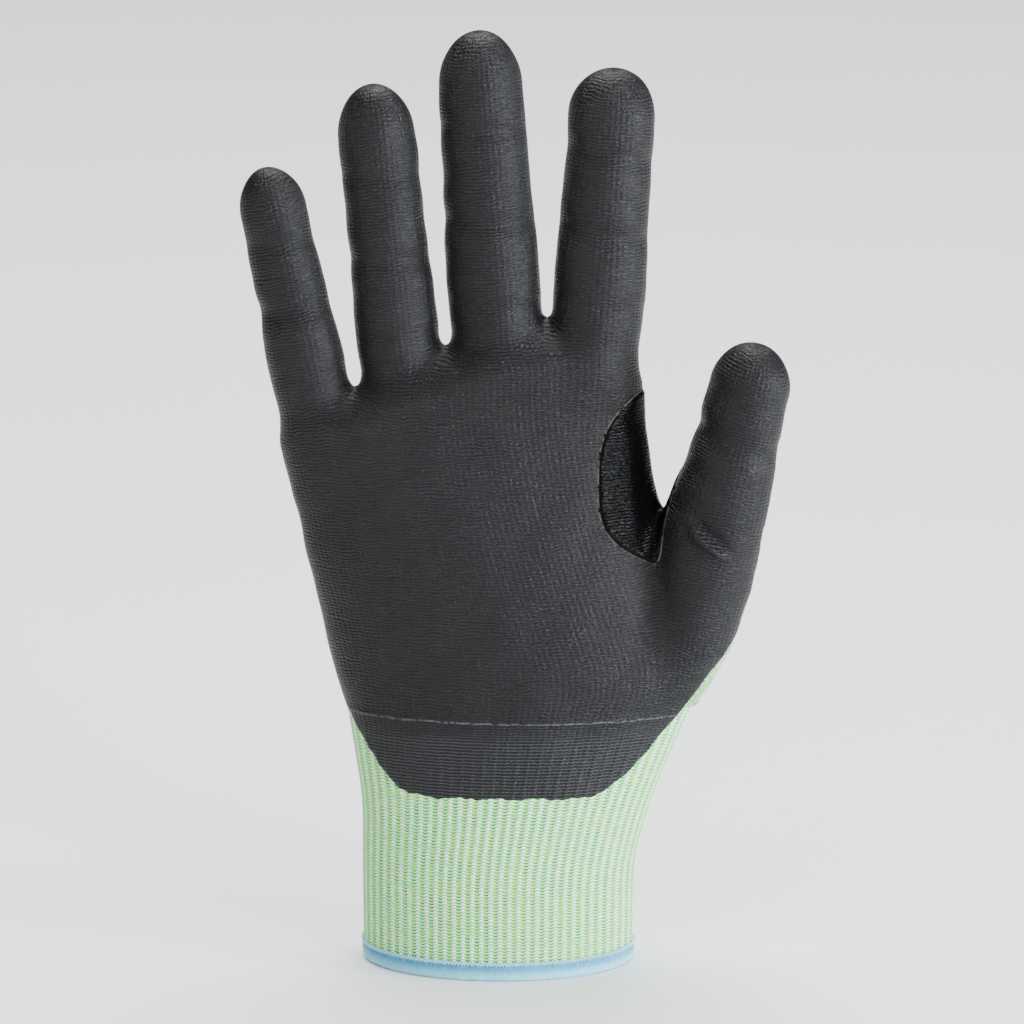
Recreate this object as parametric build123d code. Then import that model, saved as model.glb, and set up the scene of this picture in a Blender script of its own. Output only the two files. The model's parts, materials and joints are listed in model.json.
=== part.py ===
from build123d import *
from dataclasses import dataclass
from math import cos, radians, sin, sqrt, tan
import os

# A cut resistant knitted work glove for the right hand, size 9, standing on its hem.
# Millimetres. +Z runs from the hem to the fingertips, the palm faces -Y, the thumb is at +X.
# The origin is the centre of the cuff's opening, at the bottom of the hem.
#
# The knit liner is one thin wall round the hand, and the foam nitrile coating is a skin on
# the palm side of it. Both are divided where a hand bends: at the wrist, at the root of each
# digit and at its knuckles. Each bend is a hinge near the palm side, because the coating is
# stiff and the knit on the back stretches. A notch at each hinge leaves room for the bend.

# Walls
LINER = 1.0  # knit
CUFF_WALL = 1.5  # rib knit of the cuff
COATING = 0.5  # nitrile skin, outside the liner
PATCH = 0.5  # nitrile patch, outside the coating
BOND = 0.05  # between two bonded skins

# Hem, and the elastic yarn laid into the cuff
HEM_HEIGHT = 5.0
HEM_PROUD = 0.7  # how far the binding stands out from the cuff
HEM_FLOOR = 0.8  # binding under the cuff's edge
ELASTIC_FIRST = 9.0  # height of the lowest ring
ELASTIC_STEP = 7.0
ELASTIC_RINGS = 5
ELASTIC_WIDE = 0.8
ELASTIC_DEEP = 0.6

# Hand and cuff: height, left side, right side and half depth of each oval section
SECTIONS = (
    (0.0, -36.8, 36.8, 26.0),
    (28.0, -37.0, 37.2, 25.0),
    (57.0, -36.8, 45.0, 23.0),
    (80.0, -43.8, 57.0, 21.5),
    (104.0, -50.0, 52.0, 19.5),
    (118.0, -52.5, 43.5, 18.0),
    (134.0, -55.5, 40.0, 16.0),
    (150.0, -59.5, 38.0, 13.5),
    (180.0, -64.0, 37.0, 11.0),
)
# Top of the hand between the digits, from the little finger's side to the thumb's
WEBS = ((-70.0, 147.0), (-37.6, 156.0), (-13.8, 165.5), (12.7, 173.5), (27.0, 170.0), (50.0, 160.0))

# Wrist hinge
WRIST_HEIGHT = 57.0
WRIST_FLEX = 30.0
WRIST_EXTEND = 30.0

# Digits
DEPTH = 0.86  # depth of a digit over its width
TIP_SECTIONS = (0.45, 0.75, 0.92, 0.995)  # shares of the fingertip, from its pad to its end
PIVOT = 0.6  # how far from the digit's axis to the palm side its hinges lie
GAP = 0.4  # between two segments at their hinge
SIDE = 0.6  # room beside a digit in its notch
REACH = 24.0  # past the skin in every notch
EXTEND = 8.0  # degrees that each knuckle bends backwards

# Coating
WRAP = 2.5  # how far it passes the digit's axis towards the back
TIP_CAP = 11.0  # length of the fingertip that it covers all round
COATING_EDGE = ((-60, 100), (-37.5, 62), (-24, 45), (2, 42), (24, 44.5), (41, 57), (64, 94))


@dataclass(frozen=True)
class Digit:
    hinge: tuple  # point of the axis at the root hinge
    lean: float  # degrees from upright, towards the thumb's side
    forward: float  # degrees tipped forward, out of the palm's plane
    turn: float  # degrees that the pad is turned towards the other fingers
    length: float  # root hinge to the tip
    stations: tuple  # (distance past the root hinge, half width), up to the fingertip's pad
    knuckles: tuple  # distance of each further hinge past the root hinge
    flex: tuple  # degrees that each hinge bends towards the palm

    @property
    def plane(self):
        """X along the hinges, Y along the digit, Z towards the palm."""
        lean, forward, turn = radians(self.lean), radians(self.forward), radians(self.turn)
        upright = Vector(sin(lean), 0, cos(lean))
        along = upright * cos(forward) + Vector(0, -sin(forward), 0)
        level = Vector(cos(lean), 0, -sin(lean))
        across = level * cos(turn) + level.cross(along) * sin(turn)
        return Plane(self.hinge, x_dir=across, z_dir=across.cross(along))

    @property
    def hinges(self):
        return (0.0, *self.knuckles)

    @property
    def segments(self):
        return ("proximal", "middle", "distal") if len(self.knuckles) == 2 else ("proximal", "distal")

    def half_width(self, distance):
        """Half width of the digit, between its stations."""
        for (a, wide_a), (b, wide_b) in zip(self.stations, self.stations[1:]):
            if distance <= b:
                return wide_a + (wide_b - wide_a) * (distance - a) / (b - a)
        return self.stations[-1][1]

    def pivot(self, distance):
        """How far the hinge lies from the axis, towards the palm."""
        return PIVOT * DEPTH * self.half_width(distance)


DIGITS = {
    "little": Digit(
        hinge=(-50.3, 0, 160),
        lean=-11.5,
        forward=0,
        turn=0,
        length=55.0,
        stations=((-26, 9.5), (0, 10.3), (17, 9.2), (44, 8.7)),
        knuckles=(17.0, 35.0),
        flex=(75, 75, 45),
    ),
    "ring": Digit(
        hinge=(-26.6, 0, 170),
        lean=-5.6,
        forward=0,
        turn=0,
        length=66.3,
        stations=((-28, 10.0), (0, 11.1), (20, 10.4), (54, 10.0)),
        knuckles=(20.0, 42.5),
        flex=(75, 75, 45),
    ),
    "middle": Digit(
        hinge=(-0.6, 0, 179),
        lean=-4.0,
        forward=0,
        turn=0,
        length=71.2,
        stations=((-30, 10.5), (0, 12.5), (22, 11.8), (58, 10.8)),
        knuckles=(21.5, 46.0),
        flex=(75, 75, 45),
    ),
    "index": Digit(
        hinge=(26.3, 0, 179),
        lean=4.0,
        forward=0,
        turn=0,
        length=61.7,
        stations=((-30, 10.5), (0, 12.4), (20, 11.6), (49, 11.3)),
        knuckles=(19.0, 39.5),
        flex=(75, 75, 45),
    ),
    "thumb": Digit(
        hinge=(58.4, -8, 124),
        lean=13.0,
        forward=6,
        turn=25,
        length=47.2,
        stations=((-56, 5.0), (-36, 13.0), (-18, 14.0), (0, 13.6), (22, 11.0), (36, 10.8)),
        knuckles=(21.5,),
        flex=(45, 55),
    ),
}


def digit_solid(digit, grow):
    """The whole digit, from inside the hand to its rounded tip, grown by a wall."""
    pad, wide = digit.stations[-1]
    cap = digit.length - pad
    sections = [(distance, half + grow) for distance, half in digit.stations]
    for share in TIP_SECTIONS:
        sections.append((pad + (cap + grow) * share, (wide + grow) * sqrt(1 - share**2)))
    ovals = []
    for distance, half in sections:
        ovals.append(Plane.XZ.offset(-distance) * Ellipse(half, half * DEPTH))
    return digit.plane.location * loft(ovals, ruled=True)


def palm_body(grow):
    """Cuff and hand without the digits, with the top cut along the webs."""
    ovals = []
    for height, left, right, half_depth in SECTIONS:
        oval = Ellipse((right - left) / 2 + grow, half_depth + grow)
        ovals.append(Pos((left + right) / 2, 0, height) * oval)
    top = [(x, z + grow) for x, z in WEBS]
    outline = Polygon((WEBS[-1][0], -1), (WEBS[0][0], -1), *top, align=None)
    return loft(ovals, ruled=True) & extrude(Plane.XZ * outline, REACH * 2, both=True)


def hand_solid(grow):
    """Cuff, hand and all five digits as one solid."""
    solid = palm_body(grow)
    for digit in DIGITS.values():
        solid += digit_solid(digit, grow)
    return solid


def stretch(digit, start, end):
    """The block of space round one digit, from one distance along it to another."""
    wide = digit.half_width(0) + SIDE
    block = Pos(0, (start + end) / 2, 0) * Box(2 * wide, end - start, 2 * REACH)
    return digit.plane.location * block


def notch(half_width, pivot, flex, extend):
    """Room for a bend: a wedge towards the palm (+Z), one towards the back, and a thin gap."""
    gap = GAP / 2
    palm = gap + (REACH - pivot) * tan(radians(flex / 2))
    back = gap + (REACH + pivot) * tan(radians(extend / 2))
    outline = Polygon(
        (-gap, pivot), (-palm, REACH), (palm, REACH),
        (gap, pivot), (back, -REACH), (-back, -REACH),
        align=None,
    )
    return extrude(Plane.YZ * outline, half_width, both=True)


def digit_notch(digit, index):
    distance = digit.hinges[index]
    wide = digit.half_width(0) + SIDE
    wedge = notch(wide, digit.pivot(distance), digit.flex[index], EXTEND)
    return digit.plane.location * (Pos(0, distance, 0) * wedge)


def wrist_notch():
    wedge = notch(2 * REACH + 20, 0, WRIST_FLEX, WRIST_EXTEND)
    place = Plane((0, 0, WRIST_HEIGHT), x_dir=(1, 0, 0), z_dir=(0, -1, 0))
    return place.location * wedge


def height_band(low, high):
    return Pos(0, 0, (low + high) / 2) * Box(400, 200, high - low)


def without_digits(solid):
    """Keep the hand and cuff, with the notches that the bends need."""
    for digit in DIGITS.values():
        solid -= stretch(digit, 0, digit.length + 10)
        solid -= digit_notch(digit, 0)
    return solid - wrist_notch()


def palm_side(solid):
    """The part of the hand's skin that the coating covers."""
    edge = Spline(*COATING_EDGE)
    first, last = COATING_EDGE[0], COATING_EDGE[-1]
    frame = Polyline(last, (120, last[1]), (120, 300), (-120, 300), (-120, first[1]), first)
    region = extrude(Plane.XZ * make_face(edge + frame), 60)
    wrapped = Pos(0, WRAP - 60 / 2, 150) * Box(260, 60, 320)
    return solid & Pos(0, WRAP, 0) * region & wrapped


def digit_segments(digit, skin):
    """Divide one digit's skin at its hinges."""
    ends = (*digit.hinges, digit.length + 10)
    for index, name in enumerate(digit.segments):
        piece = skin & stretch(digit, ends[index], ends[index + 1])
        for hinge in range(len(digit.hinges)):
            piece -= digit_notch(digit, hinge)
        yield name, piece


def digit_parts():
    parts = {}
    for name, digit in DIGITS.items():
        knit = digit_solid(digit, -COATING - BOND)
        liner = knit - digit_solid(digit, -COATING - BOND - LINER)
        for segment, piece in digit_segments(digit, liner):
            parts[f"{name}_{segment}_liner"] = piece

        depth = REACH + WRAP
        palm_half = Pos(0, 0, REACH - depth / 2) * Box(60, 300, depth)
        tip = Pos(0, digit.length, 0) * Box(60, 2 * TIP_CAP, 2 * REACH)
        covered = digit.plane.location * (palm_half + tip)
        coating = (digit_solid(digit, 0) - digit_solid(digit, -COATING)) & covered
        for segment, piece in digit_segments(digit, coating):
            parts[f"{name}_{segment}_coating"] = piece
    return parts


def hem_binding(cuff):
    """Overlocked binding that wraps the cuff's bottom edge."""
    band = height_band(0, HEM_HEIGHT)
    ring = palm_body(HEM_PROUD) - palm_body(-COATING - CUFF_WALL - HEM_PROUD)
    return (ring & band) - cuff


def elastic_rings(grow):
    """Elastic yarn laid into the inside of the cuff."""
    inside = -COATING - CUFF_WALL
    ring_wall = palm_body(inside + ELASTIC_DEEP + grow) - palm_body(inside)
    rings = []
    for index in range(ELASTIC_RINGS):
        low = ELASTIC_FIRST + index * ELASTIC_STEP
        rings.append(ring_wall & height_band(low - grow, low + ELASTIC_WIDE + grow))
    return rings


def crotch_patch(outer):
    """Smooth nitrile patch over the crotch between the thumb and the index finger."""
    palm_edge = ThreePointArc((38.5, 156), (26.5, 131), (39, 108))
    thumb_edge = ThreePointArc((39, 108), (48.5, 115), (54, 130))
    outline = palm_edge + thumb_edge + Line((54, 130), (38.5, 156))
    region = Pos(0, 12, 0) * extrude(Plane.XZ * make_face(outline), 46)
    skin = hand_solid(PATCH + BOND) - outer
    return without_digits(skin & region)


def hand_parts():
    coated = hand_solid(BOND)
    above = height_band(WRIST_HEIGHT, 300)
    below = height_band(HEM_FLOOR, WRIST_HEIGHT)

    liner = hand_solid(-COATING - BOND) - hand_solid(-COATING - BOND - LINER)
    coating = palm_side(without_digits(hand_solid(0) - hand_solid(-COATING)))
    cuff = palm_body(-COATING - BOND) - palm_body(-COATING - CUFF_WALL)
    cuff = (cuff & below) - wrist_notch()
    hem = hem_binding(cuff)
    for ring in elastic_rings(BOND):
        cuff -= ring
    return {
        "cuff_knit": cuff,
        "cuff_elastic": Compound(children=elastic_rings(0)),
        "hem_binding": hem,
        "heel_coating": coating & below,
        "palm_liner": without_digits(liner & above),
        "palm_coating": coating & above,
        "crotch_patch": crotch_patch(coated),
    }


def main():
    os.makedirs("parts", exist_ok=True)
    for name, shape in {**hand_parts(), **digit_parts()}.items():
        export_step(shape, f"parts/{name}.step")


if __name__ == "__main__":
    main()
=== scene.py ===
import json
from math import cos, radians, sin

import bpy
import numpy as np
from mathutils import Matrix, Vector


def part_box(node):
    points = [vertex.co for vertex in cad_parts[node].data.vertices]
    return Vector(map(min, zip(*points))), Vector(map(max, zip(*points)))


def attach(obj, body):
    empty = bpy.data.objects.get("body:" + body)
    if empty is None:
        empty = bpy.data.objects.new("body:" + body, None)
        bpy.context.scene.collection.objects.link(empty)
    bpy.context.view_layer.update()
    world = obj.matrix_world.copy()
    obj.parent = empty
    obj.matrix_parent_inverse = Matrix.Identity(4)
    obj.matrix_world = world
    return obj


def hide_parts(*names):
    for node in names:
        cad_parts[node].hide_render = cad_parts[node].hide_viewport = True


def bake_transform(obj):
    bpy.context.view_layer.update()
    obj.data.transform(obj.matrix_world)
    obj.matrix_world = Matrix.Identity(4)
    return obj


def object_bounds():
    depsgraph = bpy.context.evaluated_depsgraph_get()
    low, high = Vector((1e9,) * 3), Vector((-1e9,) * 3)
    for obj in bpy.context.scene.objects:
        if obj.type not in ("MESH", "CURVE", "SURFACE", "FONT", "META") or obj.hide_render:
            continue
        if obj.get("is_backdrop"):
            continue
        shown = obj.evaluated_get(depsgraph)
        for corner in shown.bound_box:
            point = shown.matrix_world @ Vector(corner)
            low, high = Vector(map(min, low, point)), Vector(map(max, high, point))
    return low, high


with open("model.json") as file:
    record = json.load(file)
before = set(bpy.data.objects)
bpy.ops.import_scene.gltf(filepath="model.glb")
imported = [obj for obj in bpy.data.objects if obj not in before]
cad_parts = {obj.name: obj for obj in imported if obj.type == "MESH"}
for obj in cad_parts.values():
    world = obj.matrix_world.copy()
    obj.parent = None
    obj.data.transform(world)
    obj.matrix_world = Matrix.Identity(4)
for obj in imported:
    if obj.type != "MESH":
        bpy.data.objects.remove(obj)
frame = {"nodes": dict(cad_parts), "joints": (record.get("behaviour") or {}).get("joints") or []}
cad_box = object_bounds()

# The glove's skin is one smooth surface, worked out from the CAD nodes' sections. It is divided
# into pieces that each lie over one joint or ride on one body. The knit is the surface, a little
# inside it, and the coating is a second skin over the knit. Everything is in metres unless a name
# says otherwise.
MM = 0.001
CELL = 0.8 * MM  # size of the skin's faces

COATING = 0.55 * MM  # thickness of the coating
LINER = 1.0 * MM  # wall of the knit
LIP = 0.9 * MM  # width over which the coating thins at its edge
PATCH = 0.55 * MM  # thickness of the crotch patch
PATCH_LIP = 1.2 * MM  # width over which the patch thins at its edge
PATCH_RIM = 0.15 * MM  # thickness of the patch right at its edge
RIM = 0.12 * MM  # thickness of the coating right at its edge
SINK = 0.05 * MM  # how far the coating is pressed into the knit
PATCH_SINK = 0.1 * MM

WALES_ROUND = 136  # columns of stitches round the hand
COURSE = 0.86 * MM  # height of one row of stitches
SEAM = 69.5 * MM  # height at which the ribs of the cuff end under the coating
SEAM_ROW = SEAM / COURSE + 0.6
RIB = 2  # columns in one rib of the cuff
RIB_RELIEF = 0.34 * MM
RIBS_UNDER_COATING = 0.12 * MM  # relief of the ribs that show through the coating

SIDE_SMOOTH = 2.5 * MM  # how softly two fingers join
HAND_SMOOTH = 6.0 * MM  # how softly a digit joins the hand
ROOF = 10.0 * MM  # rounding of the hand's top, under the webs
ROOT_ROUND = 8 * MM  # rounding of a digit's hidden end inside the hand
SHARE_SOFTNESS = 2.5 * MM  # how softly stitches pass from the hand to a digit

rng = np.random.default_rng(721)


def unit(v):
    return v / np.linalg.norm(v)


# ---------------------------------------------------------------- measuring the frame


def node_points(*names):
    points = []
    for name in names:
        mesh = frame["nodes"][name].data
        co = np.zeros(len(mesh.vertices) * 3)
        mesh.vertices.foreach_get("co", co)
        points.append(co.reshape(-1, 3))
    return np.concatenate(points)


def slice_nodes(names, point, normal):
    """Where the nodes' edges cross a plane."""
    found = []
    for name in names:
        mesh = frame["nodes"][name].data
        co = node_points(name)
        ends = np.zeros(len(mesh.edges) * 2, int)
        mesh.edges.foreach_get("vertices", ends)
        a, b = co[ends.reshape(-1, 2).T]
        da, db = (a - point) @ normal, (b - point) @ normal
        hit = (da * db) < 0
        share = (da[hit] / (da[hit] - db[hit]))[:, None]
        found.append(a[hit] + (b[hit] - a[hit]) * share)
    return np.concatenate(found)


SLICES = 24  # sections measured along a digit
NOTCH = 0.5 * MM  # the CAD is notched this near a hinge, so it isn't measured there
CAP_SAMPLE = 4.0 * MM  # distance from the tip at which its roundness is measured
PAD_SAMPLE = 15 * MM  # distance from the tip at which its full width is measured


class Digit:
    """One finger or the thumb: its axis, its hinges and its half width along its length."""

    def __init__(self, name, base):
        joints = [j for j in frame["joints"] if j["name"].startswith(name + "_")]
        self.name = name
        self.bodies = [j["child"] for j in joints]
        self.hinge_points = [np.array(j["pos_m"]) for j in joints]
        self.across = unit(np.array(joints[0]["axis"]))
        first, second = self.hinge_points[:2]
        rough = unit(second - first)
        skins = [f"{b}_{layer}" for b in self.bodies for layer in ("liner", "coating")]
        far = node_points(skins[-1])
        end = far[(far @ rough) > (far @ rough).max() - 0.1 * MM].mean(0)
        ring = slice_nodes(skins[:1], (first + second) / 2, rough)
        palm = np.cross(self.across, rough)
        middle = (first + second) / 2
        for axis in (self.across, palm):
            reach = (ring - middle) @ axis
            middle = middle + axis * (reach.min() + reach.max()) / 2
        along = end - middle
        self.along = unit(along - self.across * (along @ self.across))
        self.palm = np.cross(self.across, self.along)
        self.origin = end - self.along * ((end - first) @ self.along)
        self.hinges = [(h - self.origin) @ self.along for h in self.hinge_points]
        self.length = (end - self.origin) @ self.along

        half_way = self.at((self.hinges[0] + self.hinges[1]) / 2)
        ring = slice_nodes(skins[:1], half_way, self.along) - self.origin
        self.depth = np.ptp(ring @ self.palm) / np.ptp(ring @ self.across)
        places = np.linspace(1.2 * MM, self.length - 1.0 * MM, SLICES)
        places = [s for s in places if min(abs(s - h) for h in self.hinges) > NOTCH]
        wide = []
        for s in places:
            ring = slice_nodes(skins, self.at(s), self.along) - self.origin
            wide.append(np.ptp(ring @ self.across) / 2)
        pad_width = np.interp(self.length - PAD_SAMPLE, places, wide)
        share = np.interp(self.length - CAP_SAMPLE, places, wide) / pad_width
        self.cap = CAP_SAMPLE / (1 - np.sqrt(1 - min(share, 0.99) ** 2))
        self.pad = self.length - self.cap
        kept = [(s, w) for s, w in zip(places, wide) if s < self.pad]
        root_width = kept[0][1]
        inside = [(-depth, root_width * part) for depth, part in base]
        self.bottom = inside[0][0]
        self.profile = np.array(inside + kept).T

    def at(self, s, across=0.0, palm=0.0):
        return self.origin + self.along * s + self.across * across + self.palm * palm

    def local(self, p):
        """Across, along and towards the palm, from the root hinge."""
        q = p - self.origin.astype(p.dtype)
        return [q @ axis.astype(p.dtype) for axis in (self.across, self.along, self.palm)]

    def half_width(self, s):
        return np.interp(np.clip(s, self.bottom, self.pad), *self.profile)

    def distance(self, p):
        x, s, z = self.local(p)
        w = self.half_width(s)
        over = np.maximum(s - self.pad, 0) / self.cap
        under = np.maximum(self.bottom - s, 0) / ROOT_ROUND
        end = over + under
        q = np.sqrt((x / w) ** 2 + (z / (w * self.depth)) ** 2 + end**2)
        slope = np.sqrt((x / w**2) ** 2 + (z / (w * self.depth) ** 2) ** 2 + (end / self.cap) ** 2)
        return q * (q - 1) / np.maximum(slope, 1e-6)


# how a digit goes on inside the hand: depth below its root hinge, share of the root's width
FINGER_BASE = ((30 * MM, 0.72), (14 * MM, 0.93))
THUMB_BASE = ((56 * MM, 0.42), (36 * MM, 0.95), (18 * MM, 1.03))
FINGERS = [Digit(name, FINGER_BASE) for name in ("little", "ring", "middle", "index")]
THUMB = Digit("thumb", THUMB_BASE)
DIGITS = [*FINGERS, THUMB]
UP = np.array([0.0, 0.0, 1.0])
WRIST = next(j for j in frame["joints"] if j["name"] == "wrist")["pos_m"][2]


CUFF_HEIGHTS = (2.0, 14.0, 28.0, 44.0)  # mm, where the cuff's section is measured
HAND_HEIGHTS = (72.0, 80.0, 112.0, 118.0, 126.0, 134.0, 142.0, 149.0)
THUMB_LOW, THUMB_HIGH = 84 * MM, 116 * MM  # between them the thumb hides the hand's right edge
THUMB_CLEAR = 14.5 * MM  # how far left of the thumb's root the hand alone is measured
HAND_MIDDLE, HAND_MIDDLE_HALF = -8 * MM, 12 * MM  # where the hand's depth is measured


def smoothed(line, reach):
    """Running mean over reach values on each side."""
    count = 2 * reach + 1
    return np.convolve(np.pad(line, reach, mode="edge"), np.ones(count) / count, "valid")


def upright_slice(node, x):
    return slice_nodes([node], np.array([x, 0, 0]), np.array([1.0, 0, 0]))


class Palm:
    """Cuff and hand: oval sections at heights, under a roof along the webs."""

    def __init__(self):
        rows = [self.measure(z * MM, "cuff_knit") for z in CUFF_HEIGHTS]
        rows += [self.measure(z * MM, "palm_liner") for z in HAND_HEIGHTS]
        z, left, right, depth = np.array(rows).T
        no_thumb = (z < THUMB_LOW) | (z > THUMB_HIGH)
        fine = np.arange(-0.01, 0.2, 0.001)
        self.table = [fine]
        for values, keep in ((left, z > 0), (right, no_thumb), (depth, z > 0)):
            self.table.append(smoothed(np.interp(fine, z[keep], values[keep]), 6))
        roots = [f.at(0) for f in FINGERS]
        webs = []
        for a, b in zip(roots, roots[1:]):
            x = (a[0] + b[0]) / 2 + 0.4 * MM
            webs.append((x, upright_slice("palm_liner", x)[:, 2].max()))
        # the roof falls away past the outer webs
        first, last = webs[0][1], webs[-1][1]
        ends = [(-0.08, first - 12 * MM), *webs, (0.03, last - 3 * MM), (0.06, last - 16 * MM)]
        self.roof = np.array(ends).T

    @staticmethod
    def measure(z, node):
        points = slice_nodes([node], np.array([0, 0, z]), UP)
        middle = points[np.abs(points[:, 0] - HAND_MIDDLE) < HAND_MIDDLE_HALF]
        if z > THUMB_LOW:  # the thumb stands beside the hand here, so only the hand counts
            points = points[points[:, 0] < THUMB.at(0)[0] - THUMB_CLEAR]
        left, right = points[:, 0].min() - COATING, points[:, 0].max() + COATING
        return z, left, right, np.abs(middle[:, 1]).max() + COATING

    def section(self, z):
        """Centre, half width and half depth."""
        left, right, depth = (np.interp(z, self.table[0], values) for values in self.table[1:])
        return (left + right) / 2, (right - left) / 2, depth

    def distance(self, p):
        x, y, z = p[..., 0], p[..., 1], p[..., 2]
        centre, a, b = self.section(z)
        x = x - centre
        top = np.interp(p[..., 0], *self.roof) - ROOF
        end = np.maximum(z - top, 0) / ROOF
        q = np.sqrt((x / a) ** 2 + (y / b) ** 2 + end**2)
        slope = np.sqrt((x / a**2) ** 2 + (y / b**2) ** 2 + (end / ROOF) ** 2)
        return q * (q - 1) / np.maximum(slope, 1e-6)


PALM = Palm()


def smooth_min(a, b, width):
    h = np.maximum(width - np.abs(a - b), 0) / width
    return np.minimum(a, b) - h * h * width / 4


def distances(p):
    return [PALM.distance(p)] + [digit.distance(p) for digit in DIGITS]


def field(p):
    """Distance to the glove's skin, below 0 inside it."""
    palm, *digits = distances(p)
    fingers = digits[0]
    for other in digits[1:4]:
        fingers = smooth_min(fingers, other, SIDE_SMOOTH)
    hand = smooth_min(palm, fingers, HAND_SMOOTH)
    return smooth_min(hand, digits[4], HAND_SMOOTH)


def gradient(function, p, step=0.15 * MM):
    parts = []
    for axis in np.eye(3) * step:
        parts.append((function(p + axis) - function(p - axis)) / (2 * step))
    return np.stack(parts, -1)


def settle(p, offset=0.0, rounds=3):
    """Move points onto the skin, or a given distance out of it."""
    for _ in range(rounds):
        g = gradient(field, p)
        p = p - g * ((field(p) - offset) / np.maximum((g * g).sum(-1), 1e-9))[:, None]
    return p


# ---------------------------------------------------------------- the skin as a mesh


def surface_net(low, high, cell):
    """Quads on the zero surface of field(), one vertex in each cell that it crosses."""
    axes = [np.arange(a, b + cell, cell) for a, b in zip(low, high)]
    shape = [len(a) for a in axes]
    values = np.empty(shape, np.float32)
    plane = np.stack(np.meshgrid(axes[1], axes[2], indexing="ij"), -1).reshape(-1, 2)
    for i, x in enumerate(axes[0]):
        points = np.column_stack([np.full(len(plane), x), plane]).astype(np.float32)
        values[i] = field(points).reshape(shape[1:])
    corners = [(i, j, k) for i in (0, 1) for j in (0, 1) for k in (0, 1)]
    size = [n - 1 for n in shape]

    def corner(c):
        return values[tuple(slice(o, o + n) for o, n in zip(c, size))]

    total, count = np.zeros((*size, 3), np.float32), np.zeros(size, np.float32)
    for a in corners:
        for axis in range(3):
            if a[axis]:
                continue
            b = tuple(1 if n == axis else a[n] for n in range(3))
            va, vb = corner(a), corner(b)
            hit = (va < 0) != (vb < 0)
            share = np.where(hit, va / np.where(hit, va - vb, 1), 0)
            for n in range(3):
                total[..., n] += hit * (a[n] + (share if n == axis else 0))
            count += hit
    used = count > 0
    number = np.full(size, -1)
    number[used] = np.arange(used.sum())
    place = np.argwhere(used) + total[used] / count[used][:, None]
    verts = np.array(low) + place * cell

    quads = []
    inside = values < 0
    for axis in range(3):
        first, second = [n for n in range(3) if n != axis]
        lower = [slice(1, -1)] * 3
        lower[axis] = slice(0, -1)
        upper = list(lower)
        upper[axis] = slice(1, None)
        a, b = inside[tuple(lower)], inside[tuple(upper)]
        at = np.argwhere(a != b)
        flip = b[a != b]
        base = at + 1
        base[:, axis] -= 1
        cells = []
        for du, dv in ((1, 1), (0, 1), (0, 0), (1, 0)):
            step = np.zeros(3, int)
            step[first], step[second] = -du, -dv
            cells.append(number[tuple((base + step).T)])
        quad = np.stack(cells, -1)
        if axis == 1:
            flip = ~flip
        quad[flip] = quad[flip][:, ::-1]
        quads.append(quad)
    return verts.astype(float), np.concatenate(quads)


def face_normals(p, quads):
    a, b = p[quads[:, 2]] - p[quads[:, 0]], p[quads[:, 3]] - p[quads[:, 1]]
    return np.cross(a, b)


def vertex_normals(p, quads):
    normals = np.zeros_like(p)
    faces = face_normals(p, quads)
    for n in range(4):
        np.add.at(normals, quads[:, n], faces)
    return normals / np.maximum(np.linalg.norm(normals, axis=1), 1e-12)[:, None]


def neighbours_mean(p, quads):
    total, count = np.zeros_like(p), np.zeros(len(p))
    for n in range(4):
        a, b = quads[:, n], quads[:, (n + 1) % 4]
        np.add.at(total, a, p[b])
        np.add.at(total, b, p[a])
        np.add.at(count, a, 1)
        np.add.at(count, b, 1)
    return total / np.maximum(count, 1)[:, None]


SKIN_FLOOR = 34 * MM  # lowest height that the coating's edge needs
NET_MARGIN = 3 * MM  # room round the CAD's box
EVEN_OUT = 0.6  # how far a vertex moves to the mean of its neighbours
low, high = np.array(cad_box[0]) - NET_MARGIN, np.array(cad_box[1]) + NET_MARGIN
low[2] = SKIN_FLOOR
SKIN, QUADS = surface_net(low, high, CELL)
for _ in range(3):
    SKIN = settle(SKIN + EVEN_OUT * (neighbours_mean(SKIN, QUADS) - SKIN), rounds=1)
SKIN = settle(SKIN, rounds=2)
NORMALS = vertex_normals(SKIN, QUADS)
if (NORMALS * gradient(field, SKIN)).sum(1).mean() < 0:
    QUADS = QUADS[:, ::-1]
    NORMALS = -NORMALS

# ---------------------------------------------------------------- stitches, coating and relief

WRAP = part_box("palm_coating")[1].y  # how far the coating passes the side, towards the back
TIP_COVER = 11 * MM  # length of each fingertip that is coated all round
WRIST_ZONE = (WRIST - 13 * MM, WRIST + 13 * MM)  # heights between which the wrist bends
KNIT_START = WRIST_ZONE[1] + 1 * MM  # the hand's own pieces begin above the wrist's bend
ZONE_BEFORE, ZONE_AFTER = 4.4 * MM, 8.6 * MM  # a bend at a digit's root, round its hinge
BEND_SHARE = 0.44  # share of the shorter bone beside it that any other bend takes up, each way
DRAWN_UP, DRAWN_MIDDLE = 2.5 * MM, 4.8 * MM  # the knit's stretch draws the coating's edge up
DRAWN_WIDTH = 24 * MM


def quarter_table(ratio):
    """Share of a quarter of an oval's edge, by angle from its flat side's middle."""
    angle = np.linspace(0, np.pi / 2, 60)
    step = np.sqrt(np.cos(angle) ** 2 + (ratio * np.sin(angle)) ** 2)
    length = np.concatenate([[0], np.cumsum((step[1:] + step[:-1]) / 2)])
    return angle, length / length[-1]


PALM_QUARTER = quarter_table(0.4)
DIGIT_QUARTER = quarter_table(0.86)
DIGIT_WALE = 1.6 * MM  # width of a stitch column on a digit


def columns(x, z, a, b, table, quarter):
    """Stitch column round an oval, from the middle of the palm side or of the back."""
    angle = np.arctan2(np.abs(x) / a, np.abs(z) / b)
    return np.sign(x) * quarter * np.interp(angle, *table)


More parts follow.
